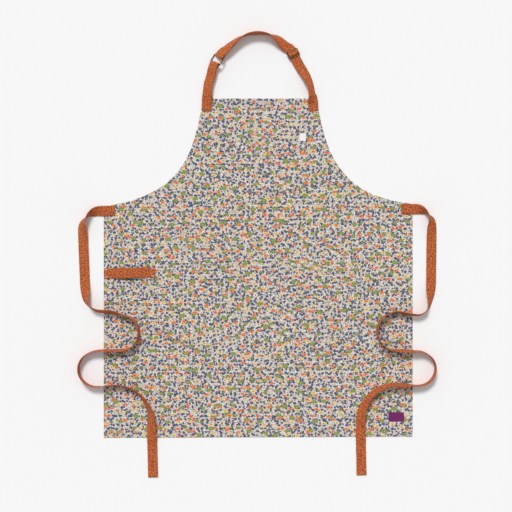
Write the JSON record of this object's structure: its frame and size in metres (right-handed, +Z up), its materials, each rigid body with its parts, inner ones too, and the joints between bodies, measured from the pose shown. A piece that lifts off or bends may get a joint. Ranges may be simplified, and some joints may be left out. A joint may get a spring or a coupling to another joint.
{
  "type": "bib apron",
  "caption": "Full bib apron lying flat, face up: patterned cotton, patch pockets, webbing neck strap with ring and slider, waist ties and a towel loop.",
  "frame": {"origin": "on the underside of the panel, at the middle of its waist line", "axes": "+X to the right of the laid apron seen from its face, +Y from the hem to the neck, +Z up from the table through the cloth"},
  "size_m": [0.9103, 1.1275, 0.0277],
  "materials": {
    "printed_cotton": "matt plain weave with a small multicoloured flower print",
    "pocket_cotton": "the same printed cloth, cut separately",
    "rust_webbing": "matt rust-orange twill webbing",
    "antique_brass": "dark antique brass, worn bright on the rounds",
    "white_label": "plain white woven label, blank",
    "purple_label": "plain purple woven label, blank"
  },
  "bodies": {
    "root": {"apron_panel": "printed_cotton", "bib_pocket": "pocket_cotton", "skirt_pocket_left": "pocket_cotton", "skirt_pocket_right": "pocket_cotton", "pocket_tag": "white_label", "hem_label": "purple_label", "towel_loop": "rust_webbing", "neck_strap": "rust_webbing", "neck_stub": "rust_webbing", "neck_ring": "antique_brass", "neck_slider": "antique_brass", "waist_tie_left": "rust_webbing", "waist_tie_right": "rust_webbing"}
  },
  "joints": []
}
